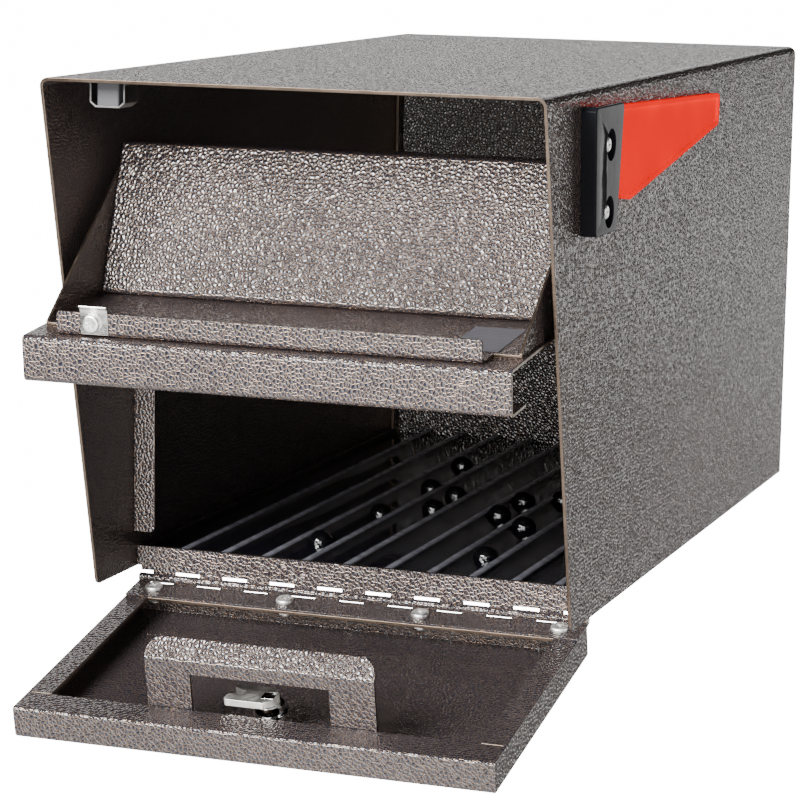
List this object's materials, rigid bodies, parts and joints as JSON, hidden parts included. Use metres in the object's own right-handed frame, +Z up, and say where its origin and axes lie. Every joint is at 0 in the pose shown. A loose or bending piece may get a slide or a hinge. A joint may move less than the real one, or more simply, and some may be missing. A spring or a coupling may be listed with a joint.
{
  "type": "post-mounted parcel drop box",
  "caption": "Hooded steel parcel box for a post, with a tip-out hopper door, a locking drop-down access door and a side signal flag.",
  "frame": {"origin": "centre of the four base bolt holes, on the underside of the floor pan", "axes": "+X to the right seen from the doors, +Y from the doors to the back panel, +Z up"},
  "size_m": [0.2811, 0.5896, 0.339],
  "materials": {
    "body_coat": "hammered bronze powder coat",
    "zinc": "bright zinc plate",
    "chrome": "polished",
    "lock_dark": "blackened",
    "magnet": "grey ceramic",
    "black_plastic": "gloss",
    "flag_plastic": "satin",
    "label_paper": "matte paper",
    "clip_steel": "bright"
  },
  "bodies": {
    "housing": {"housing_shell": "body_coat", "back_panel": "body_coat", "floor_pan": "body_coat", "left_jamb": "body_coat", "right_jamb": "body_coat", "crossbar": "body_coat", "hinge_fixed_leaf": "body_coat", "hinge_pin": "zinc", "hopper_hinge_fixed_leaf": "body_coat", "hopper_hinge_pin": "zinc", "floor_mat": "black_plastic", "mat_plugs": "black_plastic", "catch_bracket": "zinc", "catch_magnet": "magnet", "flag_bracket": "black_plastic", "flag_screws": "zinc", "flag_nuts": "zinc"},
    "access_door": {"door_pan": "body_coat", "hinge_door_leaf": "zinc", "hinge_screws": "zinc", "hinge_nuts": "zinc", "latch_guard": "body_coat", "lock_barrel": "lock_dark", "lock_nut": "zinc", "lock_ring": "chrome"},
    "latch": {"lock_plug": "chrome", "lock_cam": "zinc"},
    "hopper_door": {"hopper_panel": "body_coat", "hopper_tray": "body_coat", "hopper_hinge_moving_leaf": "body_coat", "baffle": "body_coat", "mail_clip": "clip_steel", "clip_screw": "zinc", "clip_nut": "zinc", "tray_label": "label_paper"},
    "flag": {"flag_blade": "flag_plastic"}
  },
  "joints": [
    {"name": "access_door_hinge", "type": "hinge", "parent": "housing", "child": "access_door", "pos_m": [0, -0.1975, -0.0055], "axis": [-1, 0, 0], "range_deg": [0, 102]},
    {"name": "latch_turn", "type": "hinge", "parent": "access_door", "child": "latch", "pos_m": [0, -0.32564, -0.03274], "axis": [0, -0.2079, 0.9781], "range_deg": [0, 90]},
    {"name": "hopper_hinge", "type": "hinge", "parent": "housing", "child": "hopper_door", "pos_m": [0, -0.233, 0.162], "axis": [-1, 0, 0], "range_deg": [0, 82.7]},
    {"name": "flag_pivot", "type": "hinge", "parent": "housing", "child": "flag", "pos_m": [0.14, -0.2245, 0.252], "axis": [1, 0, 0], "range_deg": [0, 90]}
  ]
}
